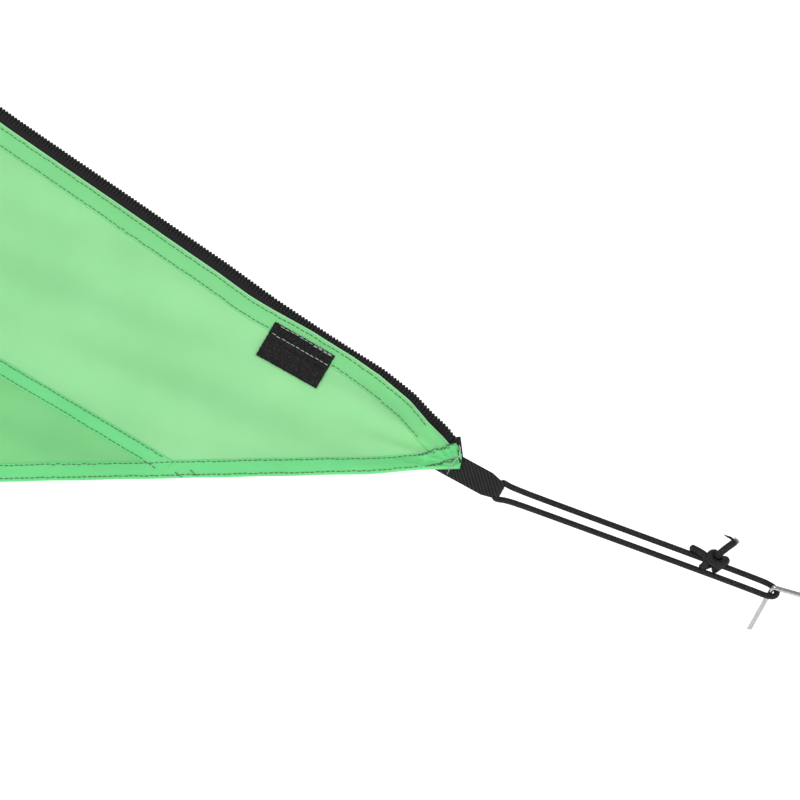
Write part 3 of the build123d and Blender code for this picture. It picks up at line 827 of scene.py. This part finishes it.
def add_long_wall(side):
    """Panels, hem, seam and stitches of one long wall."""
    word = "near" if side > 0 else "far"
    seam_low = seam_line(0.0, 0.0)
    u = finer_near_start(half_length * 2 - seam_start - 0.006, 0.16, 0.004, 0.03)
    share = u / u[-1]
    bottom = np.stack([seam_low[0] - u - 0.0002, 0 * u], 1)
    seam_top = seam_line(seam_length - 0.004, 0.0)
    top = seam_low + share[:, None] * (seam_top - seam_low)
    top[:, 0] -= 0.0001
    main = cloth_piece(f"{word}_main_cloth", cloth_between(bottom, top, 44, side=side),
                       cloth_main, f"{word}_main_panel")
    solid_sheet(main, cloth_thick)
    hem_reach = seam_start * cos(seam_angle)
    t = finer_near_start(zip_length - 0.001, 0.42, 0.003, 0.02)
    on_hem = np.minimum(t / hem_reach, 1) * (seam_start - 0.0008)
    on_seam = np.maximum(t - hem_reach, 0) / (t[-1] - hem_reach) * (seam_length - 0.004)
    lower = np.where((t < hem_reach)[:, None], np.stack([-0.0008 - on_hem, 0 * t], 1),
                     seam_line(on_seam, 0.0))
    if side > 0:
        upper = fold_line(t, 0.0)
    else:
        way = front_ridge / front_ridge_length
        reach = (t / t[-1])[:, None] * way * (front_ridge_length - 0.005)
        upper = np.array([-0.004, 0]) + reach
    bulge = 0.0030 * np.exp(-t / 0.008)
    strip = cloth_between(upper, lower, 52, side=side, bulge=bulge)
    front = cloth_piece(f"{word}_front_cloth", strip, cloth_lit, f"{word}_front_panel")
    solid_sheet(front, cloth_thick)
    hem = add_fold(f"{word}_hem", hem_line, hem_steps, hem_section, side=side, pucker=hem_pucker)
    seam_band = folded_strip(seam_width)
    seam_band[:, 0] -= seam_width / 2
    seam = add_fold(f"{word}_seam", seam_line, seam_steps[3:-2], seam_band, side=side,
                    pucker=seam_pucker)
    hem_thread = add_stitches(f"{word}_hem_stitches", hem_line, hem_rows_at, 0.026, hem_run,
                              side=side, lift=hem_stitch_lift)
    seam_thread = add_stitches(f"{word}_seam_stitches", seam_line, seam_rows_at, 0.016,
                               seam_length - 0.02, side=side)
    extra = add_zip_hem() if side > 0 else []


def add_zip_hem():
    """The front strip's folded edge along the zipper, and the corner's folds and bar tacks."""
    t = finer_near_start(zip_length - 0.002, 0.4, 0.003, 0.02)
    band = folded_strip(zip_hem_width)
    hem = add_fold("zip_side_hem", fold_line, t, band, material=cloth_band_shade, pucker=hem_pucker)
    edge_turn = np.linspace(0, 2 * pi, 9)[:-1]
    edge = np.stack([0.0002 + 0.00042 * np.cos(edge_turn), 0.0002 + 0.00048 * np.sin(edge_turn)], 1)
    # A thin bead along the fold that carries the painted highlight.
    fold = add_fold("fold_edge_highlight", fold_line, t, edge, material=cloth_edge_highlight)
    thread = add_stitches("zip_hem_stitches", fold_line, zip_hem_rows_at, 0.018,
                          zip_length - 0.01)
    flap_corners = np.array([(-0.0275, 0.0082), (-0.0240, -0.0003),
                             (-0.0008, -0.0002), (-0.0026, 0.0152)])

    def flap_place(s, v):
        s, v = np.broadcast_arrays(s, v)
        low = flap_corners[1] + s[..., None] * (flap_corners[2] - flap_corners[1])
        high = flap_corners[0] + s[..., None] * (flap_corners[3] - flap_corners[0])
        flat = low * (1 - v[..., None]) + high * v[..., None]
        flat[..., 0] += 0.0022 * np.sin(pi * np.clip(v, 0, 1)) * np.clip(s, 0, 1) ** 6
        return flat

    v = np.concatenate([np.linspace(0, 1, 26), [1.02, 1.0, 0.5, 0.0, -0.02]])
    rumple = 0.0011 + 0.0003 * np.sin(np.linspace(0, 5 * pi, 26))
    z = np.concatenate([rumple, [0.0006, 0.0, 0.0, 0.0, 0.0006]])
    flap = add_fold("corner_fold", flap_place, np.linspace(0, 1, 40), np.stack([v, z], 1))
    tacks, flecks = [], []
    for ends in (((-0.0267, 0.0079), (-0.0031, 0.0142)), ((-0.0223, 0.0003), (-0.0006, 0.0060))):
        row, length = row_between(*ends)
        for across, pitch in ((0.0004, 0.0017), (-0.0006, 0.0023)):
            tacks.append(stitches(row, across, 0, length, pitch=pitch, length=0.0019,
                                  lift=0.0016, wander=0.0004))
        flecks.append(stitches(row, 0.0001, 0.001, length, pitch=0.0041, length=0.0014,
                               lift=0.0018, radius=0.00018, wander=0.0006))
    for ends in (((-0.1773, 0.0028), (-0.1723, -0.0007)), ((-0.1680, 0.0041), (-0.1637, 0.0006))):
        row, _ = row_between(*ends)
        tacks.append(stitches(row, 0.0, 0, 0.0062, pitch=0.003, lift=0.0009))
    tack = cloth_piece("corner_bar_tacks", join_cut(tacks), thread_dark)
    fleck = cloth_piece("corner_pale_threads", join_cut(flecks), thread_pale)
    loose = []
    for line in ([(0.0006, 0.0079), (-0.0050, 0.0041), (-0.0087, -0.0041)],
                 [(-0.0009, 0.0136), (-0.00015, 0.0117), (0.0, 0.0098)]):
        made = tapered(wall(line, 0.0022), [0.00025, 0.0003, 0.00015], 6)
        loose.append((*made, made[0][:, :2]))
    curl = cloth_piece("corner_loose_threads", join_cut(loose), thread_pale)
    return [hem, fold, thread, flap, tack, fleck, curl]


def add_rear_wall():
    u = np.linspace(0, 1, 70)
    bottom = np.stack([(half_width - 0.004) * (2 * u - 1), 0 * u], 1)
    top = np.stack([0.004 * (2 * u - 1), 0 * u + rear_run - 0.012], 1)
    sheet = cloth_piece("rear_cloth", cloth_between(bottom, top, 90, surface=rear),
                        cloth_main, "rear_wall")
    solid_sheet(sheet, cloth_thick)
    steps = np.linspace(0, 2 * half_width - 0.008, 150)
    hem = add_fold("rear_hem", rear_hem_line, steps, hem_section, surface=rear, pucker=hem_pucker)
    thread = add_stitches("rear_hem_stitches", rear_hem_line, hem_rows_at, 0.01,
                          2 * half_width - 0.02, surface=rear, lift=hem_stitch_lift)


# ---------------------------------------------------------------- ridges, patches and apex
def to_apex(foot):
    """The direction from a ridge's foot to the apex, and how far it is."""
    way = np.array([0, 0, apex_height]) - foot
    return unit(way), np.linalg.norm(way)


def add_ridge_tapes():
    foot = np.array([-half_length, -half_width, hem_height])
    up, length = to_apex(foot)
    into_near, into_rear = np.cross(up, near_out), np.cross(rear_out, up)
    bisector = unit(near_out + rear_out)
    t = np.linspace(0.040, length - 0.180, 320)
    a = np.linspace(-0.011, 0.011, 23)
    bend = smooth((a + 0.0018) / 0.0036)
    outward = unit(rear_out * (1 - bend)[:, None] + near_out * bend[:, None])
    base = np.where((a > 0)[:, None], into_near * a[:, None], into_rear * -a[:, None])
    top = base + outward * (0.0008 + 0.0002 * np.sin(pi * np.abs(a) / 0.011) ** 2)[:, None]
    under = (base + outward * 0.00002)[::-1]
    ring = np.vstack([top, under])
    there_and_back = np.concatenate([a, a[::-1]])
    flat = np.stack(np.broadcast_arrays(t[:, None], there_and_back), -1).reshape(-1, 2)
    wave = ridge_pucker * np.sin(2 * pi * t / ridge_pucker_pitch)
    for side, word in ((1, "near"), (-1, "far")):
        points = foot + t[:, None, None] * up + ring[None] + wave[:, None, None] * bisector
        points = points * np.array([1, side, 1.0])
        made = points.reshape(-1, 3), capped_grid(len(t), len(ring)), flat
        cloth_piece(f"{word}_ridge_binding", made, cloth_double_shade, f"{word}_rear_ridge_tape")
    way = front_ridge / front_ridge_length
    inward = np.array([-way[1], way[0]])
    line = straight(inward * 0.003, way, inward)
    band = folded_strip(0.011, high=0.0008)
    add_fold("door_seam_binding", line, t, band, "door_seam_tape", side=-1, pucker=hem_pucker)
    add_stitches("door_seam_stitches", line, (0.002, 0.009), 0.05, length - 0.19, side=-1,
                 lift=0.0010)


def add_patches():
    """Doubled cloth under each corner."""
    start, reach, high = 0.014, 0.096, 0.068

    def place(t, v):
        t, v = np.broadcast_arrays(t, v)
        tall = 0.0005 + high * t / reach
        return np.stack([-start - t, 0.0015 + v * tall], -1)

    v = np.concatenate([np.linspace(0, 1, 14), np.linspace(1, 0, 14)])
    z = np.concatenate([np.full(14, -0.00062), np.full(14, -0.0012)])
    for name, (end, side) in places.items():
        if "middle" in name:
            continue
        add_fold(f"corner_patch_{name}", place, np.linspace(0.0005, reach, 40),
                 np.stack([v, z], 1), f"patch_{name}", side=side, end=end)


def add_apex_patch():
    drop = 0.095
    rings, per = 30, 96
    level = np.linspace(0.03, 1, rings)
    turn = np.linspace(0, 2 * pi, per, endpoint=False)
    square = np.stack([np.cos(turn), np.sin(turn)], 1)
    square /= np.abs(square).max(1, keepdims=True)
    square *= 1 - 0.012 * np.exp(-((np.abs(square).min(1, keepdims=True) - 1) / 0.08) ** 2)
    size = level * drop / (apex_height - hem_height)
    points = np.zeros((rings, per, 3))
    points[..., 0] = size[:, None] * half_length * square[:, 0]
    points[..., 1] = size[:, None] * half_width * square[:, 1]
    points[..., 2] = (apex_height + 0.0008 - level * drop)[:, None]
    points[..., 2] += 0.0002 * np.sin(turn * 40)[None] * level[:, None]
    points = points.reshape(-1, 3)
    tip = np.array([[0, 0, apex_height + 0.0004]])
    faces = grid(rings, per, close_columns=True).tolist()
    faces += [[rings * per, (k + 1) % per, k] for k in range(per)]
    points = np.vstack([points, tip])
    patch = cloth_piece("peak_patch", (points, faces, points[:, :2]), cloth_double_shade, "apex_patch")
    solid_sheet(patch, 0.0012)


# ---------------------------------------------------------------- zipper
coil_pitch = 0.0023


def add_zipper():
    tape_steps = finer_near_start(zip_top + 0.012, 0.4, 0.003, 0.02)
    tape_steps[0] = -0.0022
    low, high = -0.0012, -0.00062
    ribs = np.linspace(0.0012, tape_depth, 34)
    swell = 0.00010 * np.sin(2 * pi * ribs / 0.0021)
    above = np.stack([ribs, high + swell], 1)
    below = np.stack([ribs[::-1], np.full_like(ribs, low)], 1)
    section = np.vstack([above, below])
    tape = [laid(zip_line, tape_steps, section)]
    end_strip = straight((0.0004, 0.0195), unit(np.array([0.0012, -0.0125])), (-1.0, -0.08))
    tape.append(laid(end_strip, np.linspace(0, 0.0130, 12), folded_strip(0.0046, -0.0011, -0.0002)))
    tape.append(laid(zip_line, tape_steps, [(0.0033, -0.0013), (0.0030, -0.0007), (0.0034, -0.0003),
                                            (0.0038, -0.0007), (0.0035, -0.0013)]))
    shown("zipper_tape", join_cut(tape), black_tape, "shelter", "zip_tape", "zip_tape")
    turns = int(zip_top / coil_pitch)
    per = 14
    theta = np.linspace(0, 2 * pi * turns, turns * per + 1)
    phase = theta % (2 * pi)
    reach = np.cos(phase)
    across = 0.0029 - 0.00225 * np.sign(reach) * np.abs(reach) ** 0.75
    lift = -0.0009 + 0.00074 * np.sign(np.sin(phase)) * np.abs(np.sin(phase)) ** 0.8
    head = smooth((0.0014 - across) / 0.0012)
    t = -0.0022 + theta / (2 * pi) * coil_pitch + 0.00035 * np.sin(phase) * (1 - head)
    path = wall(zip_line(t, across), lift)
    teeth = tube(path, 0.00050 + 0.00012 * head, 7)
    shown("zipper_coil", teeth, coil_black, "shelter", "zip_coil", "zip_coil")
    thread = [stitches(zip_line, a, 0.001, zip_top, pitch=coil_pitch, length=0.0021, radius=0.00022,
                       lift=0.0001, wander=0.00004) for a in (0.0026, 0.0038)]
    shown("zipper_coil_thread", join_cut(thread), black_tape, "shelter", "zip_tape")


# ---------------------------------------------------------------- hook-and-loop tab
tab_size = (0.043, 0.024)
tab_base_depth = 0.0108
tab_turn = radians(5)
tab_from_corner = 0.0885
tab_middle = tab_from_corner + tab_size[0] / 2
tab_inset = 0.010
tab_seat = 0.00055
hook_rows, hook_columns = 34, 19


def tab_line():
    """The tab's centre and axes on the wall: up the zipper, and into the wall."""
    angle = zip_first_angle - tab_middle / zip_radius
    inward = np.array([cos(angle), sin(angle)])
    upward = np.array([inward[1], -inward[0]])
    if upward[0] > 0:
        upward = -upward
    centre = zip_centre + inward * (zip_radius + tab_inset + tab_size[1] / 2)
    c, s = cos(tab_turn), sin(tab_turn)
    return centre, upward * c + inward * s, inward * c - upward * s


def add_tab():
    centre, along, inward = tab_line()
    length, depth = tab_size
    place = straight(centre - along * length / 2 - inward * depth / 2, along, inward)
    nu, nv = 130, 76
    u = np.linspace(0, 1, nu)[:, None] * length
    v = np.linspace(0, 1, nv)[None, :] * depth
    edge = np.minimum(np.minimum(u, length - u), np.minimum(v, depth - v))
    dome = 0.0009 * smooth(edge / 0.0012)
    crease = 0.0006 * np.exp(-((v - tab_base_depth - 0.0001) / 0.0007) ** 2)
    fuzz = rng.normal(size=(nu, nv)) * 0.00007
    woven_edge = smooth((v - depth + 0.0034) / 0.0008) * smooth((depth - v) / 0.0006)
    ribs = 0.00022 * np.sin(2 * pi * u / 0.0013) * woven_edge
    lift = tab_seat + 0.0004 + dome - crease + fuzz + ribs + 0.0003 * (v > tab_base_depth)
    soft_edge = 0.00018 * rng.normal(size=(nu, nv)) * (edge < 0.0002)
    top = wall(place(u + soft_edge, v + soft_edge), lift).reshape(-1, 3)
    under = wall(place(u, v), tab_seat - 0.0001).reshape(-1, 3)
    ring = [i * nv for i in range(nu)] + [(nu - 1) * nv + j for j in range(1, nv)]
    ring += [i * nv + nv - 1 for i in range(nu - 2, -1, -1)] + [j for j in range(nv - 2, 0, -1)]
    quads = grid(nu, nv)
    faces = [*quads.tolist(), *(quads[:, ::-1] + nu * nv).tolist()]
    faces += [[a, b, b + nu * nv, a + nu * nv] for a, b in zip(ring, ring[1:] + ring[:1])]
    flat = np.tile(place(u, v).reshape(-1, 2), (2, 1))
    parts = [(np.vstack([top, under]), faces, flat)]
    # Short hooks stand over the whole face but the crease.
    for i in range(hook_rows):
        for j in range(hook_columns):
            if rng.random() < 0.1:
                continue
            cu = (i + 0.5 + 0.25 * rng.normal()) * length / hook_rows
            cv = (j + 0.5 + 0.25 * rng.normal()) * depth / hook_columns
            if abs(cv - tab_base_depth) < 0.0009:
                continue
            lean = rng.normal(size=2) * 0.00035
            flat = place(*(np.array([[cu], [cv]]) + lean[:, None] * [0, 0.4, 1]))
            rise = tab_seat + 0.0012 + np.array([0, 0.0005, 0.0006 + 0.0002 * rng.random()])
            made = tube(wall(flat, rise), np.array([0.00022, 0.00019, 0.00012]), 5)
            parts.append((*made, np.repeat(place(cu, cv)[None], len(made[0]), 0)))
    points, faces, cut = join_cut(parts)
    tab = piece("hook_tab", points, faces, hook_black, cut=cut)
    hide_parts("tab_base", "tab_flap")
    hinge = [wall(place(length / 2, tab_base_depth + d), 0.0019) for d in (-0.0012, 0.0014)]
    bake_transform(tab)
    rows = [stitches(place, across, start, stop, lift=0.0023, pitch=0.0034, length=thread)
            for across, start, stop, thread in ((0.0011, 0.0015, length - 0.001, 0.0028),
                                                (0.0017, 0.0015, 0.018, 0.0026),
                                                (0.0078, 0.0005, length - 0.0005, 0.0028))]
    cloth_piece("tab_stitches", join_cut(rows), thread_pale)


# ---------------------------------------------------------------- webbing
def woven(path, across, width, thick, rib=0.00155, weft=0.00115, columns=30, closed=False):
    """A woven strap: lengthwise ribs crossed by weft, with rounded selvedges."""
    across = unit(across)
    if closed:
        tangent = unit(np.roll(path, -1, 0) - np.roll(path, 1, 0))
    else:
        tangent = unit(np.gradient(path, axis=0))
    normal = unit(np.cross(tangent, across))
    step = np.linalg.norm(np.diff(path, axis=0), axis=1)
    far = np.concatenate([[0], np.cumsum(step)])[:, None]
    width = np.broadcast_to(width, (len(path),))[:, None]
    share = np.linspace(-1, 1, columns)[None]
    place = share * width / 2
    edge = np.sqrt(np.maximum(1 - np.abs(share) ** 7, 0.0))
    ridge = np.abs(np.sin(pi * place / rib))
    over = np.sin(2 * pi * far / (2 * weft) + pi * np.floor(place / rib))
    height = thick / 2 * edge * (0.66 + 0.20 * ridge + 0.22 * over * ridge)
    back = thick / 2 * edge * (0.66 + 0.20 * ridge - 0.22 * over * ridge)
    top = path[:, None] + place[..., None] * across + height[..., None] * normal[:, None]
    low = path[:, None] + place[..., None] * across - back[..., None] * normal[:, None]
    ring = np.concatenate([top, low[:, ::-1]], 1)
    rows, around = ring.shape[:2]
    if closed:
        faces = grid(rows, around, close_rows=True, close_columns=True).tolist()
    else:
        faces = capped_grid(rows, around)
    flat = np.zeros((rows, around, 2))
    flat[..., 0] = np.concatenate([place, place[:, ::-1]], 1)
    flat[..., 1] = far
    return ring.reshape(-1, 3), faces, flat.reshape(-1, 2)


def add_webbing():
    """The folded straps that hold the cords, each round its cord and back."""
    reach, bend, half_gap = 0.055, 0.00255, 0.00058
    upper = [(-reach, half_gap), (-0.020, half_gap), (-0.0070, half_gap), (-0.0035, 0.0014)]
    turn = np.linspace(radians(118), radians(-118), 16)
    loop = [(bend * cos(a), bend * sin(a)) for a in turn]
    side_path = np.array(upper + loop + [(x, -z) for x, z in upper[::-1]])
    side_path, _ = resample(side_path, 0.00035)
    taper = np.interp(side_path[:, 0], [-0.0075, 0.0015], [0.0155, 0.0102])
    way = np.array([cos(strap_angle), sin(strap_angle)])
    across = np.array([-way[1], way[0], 0])
    flat = np.array(bore_at) + side_path[:, :1] * way
    local = np.c_[flat, tie_out_depth + side_path[:, 1]]
    strap = woven(local, across, taper, 0.00125)
    for place in places:
        placed("webbing_loop", place, strap, black_webbing, "webbing", f"webbing_{place}")


# ---------------------------------------------------------------- rolled door
roll_low, roll_high, roll_clear = 0.030, 0.010, 0.005
roll_start, roll_end_gap = 0.045, 0.190
roll_core = 0.0056
fewest_turns, most_turns = 3.6, 13.0
tie_shares = (0.3, 0.68)


def add_door():
    foot = np.array([half_length, half_width, hem_height])
    up, length = to_apex(foot)
    out = np.array([-rear_out[0], 0, rear_out[2]])
    into = np.cross(out, up)
    start = foot + up * roll_start + into * (roll_low + roll_clear)
    end = foot + up * (length - roll_end_gap) + into * (roll_high + roll_clear)
    axis = unit(end - start)
    rows = 150
    share = np.linspace(0, 1, rows)
    centre = start + share[:, None] * (end - start)
    ridge = foot + up * (roll_start + share * (length - roll_start - roll_end_gap))[:, None]
    toward = ridge - centre
    toward = unit(toward - (toward @ axis)[:, None] * axis)
    sideways = np.cross(axis, toward)
    outer = roll_low + (roll_high - roll_low) * share
    turns = np.interp(outer, [roll_high, roll_low], [fewest_turns, most_turns])
    per = 300
    s = np.linspace(0, 1, per)
    angle = 2 * pi * turns[:, None] * (s[None] - 1)
    radius = roll_core + (outer[:, None] - 0.0008 - roll_core) * s[None]
    pinch = sum(np.exp(-((share - at) / 0.012) ** 2) for at in tie_shares)
    folds = 0.0011 * np.sin(3 * angle + 11 * share[:, None])
    folds = folds + 0.0007 * np.sin(7 * angle - 31 * share[:, None])
    loose = (1 - 0.85 * pinch[:, None]) * smooth((outer[:, None] - 0.006) / 0.02)
    radius = radius + folds * s[None] ** 2 * loose
    radius = np.minimum(radius, outer[:, None] + 0.0002 + 0.0004 * pinch[:, None])
    spiral = (centre[:, None] + radius[..., None] * (np.cos(angle)[..., None] * toward[:, None]
              + np.sin(angle)[..., None] * sideways[:, None]))
    web = spiral[:, -1:] + np.linspace(0.2, 1, 5)[None, :, None] * (ridge - spiral[:, -1])[:, None]
    points = np.concatenate([spiral, web], 1)
    rolled_up = 0.004 * np.arange(per + 5)
    flat = np.stack(np.broadcast_arrays(rolled_up, 1.7 * share[:, None]), -1).reshape(-1, 2)
    spiral_sheet = points.reshape(-1, 3), grid(rows, per + 5), flat
    roll = cloth_piece("rolled_door", spiral_sheet, cloth_lit, "door_roll")
    solid_sheet(roll, cloth_thick)
    strip = start + np.linspace(-0.004, np.linalg.norm(end - start) + 0.004, 700)[:, None] * axis
    door_tape = woven(strip, toward[0], 0.0074, 0.0022, rib=0.0012, weft=0.002, columns=14)
    shown("door_zipper_tape", door_tape, black_tape, "shelter", "zip_tape", "door_zip")
    bands = []
    beside = np.cross(axis, toward[0])
    for at in tie_shares:
        middle = start + at * (end - start)
        ring_radius = roll_low + (roll_high - roll_low) * at + 0.0017
        turn = np.linspace(0, 2 * pi, int(2 * pi * ring_radius / 0.0005), endpoint=False)
        spokes = np.cos(turn)[:, None] * toward[0] + np.sin(turn)[:, None] * beside
        ring = middle + ring_radius * spokes
        bands.append(woven(ring, axis, 0.0118, 0.0019, columns=24, closed=True))
    shown("door_ties", join_cut(bands), black_webbing, "shelter", "webbing", "door_tie_bands")


# ---------------------------------------------------------------- CAD pieces that stay
def finish_hard_parts():
    wanted = {"peg_": steel, "pole_upper_tube": anodised, "pole_lower_tube": anodised,
              "pole_foot": rubber, "pole_tip": moulded, "pole_clamp": moulded,
              "clamp_lever": moulded, "apex_cup": moulded, "toggle_": moulded,
              "slider_": enamel, "zip_top_stop": enamel}
    for name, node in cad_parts.items():
        for start, material in wanted.items():
            if name.startswith(start):
                node.data.materials.clear()
                node.data.materials.append(material)


add_camera()
add_studio()
add_cords()
add_long_wall(1)
add_long_wall(-1)
add_rear_wall()
add_ridge_tapes()
add_patches()
add_apex_patch()
add_zipper()
add_tab()
add_webbing()
add_door()
finish_hard_parts()
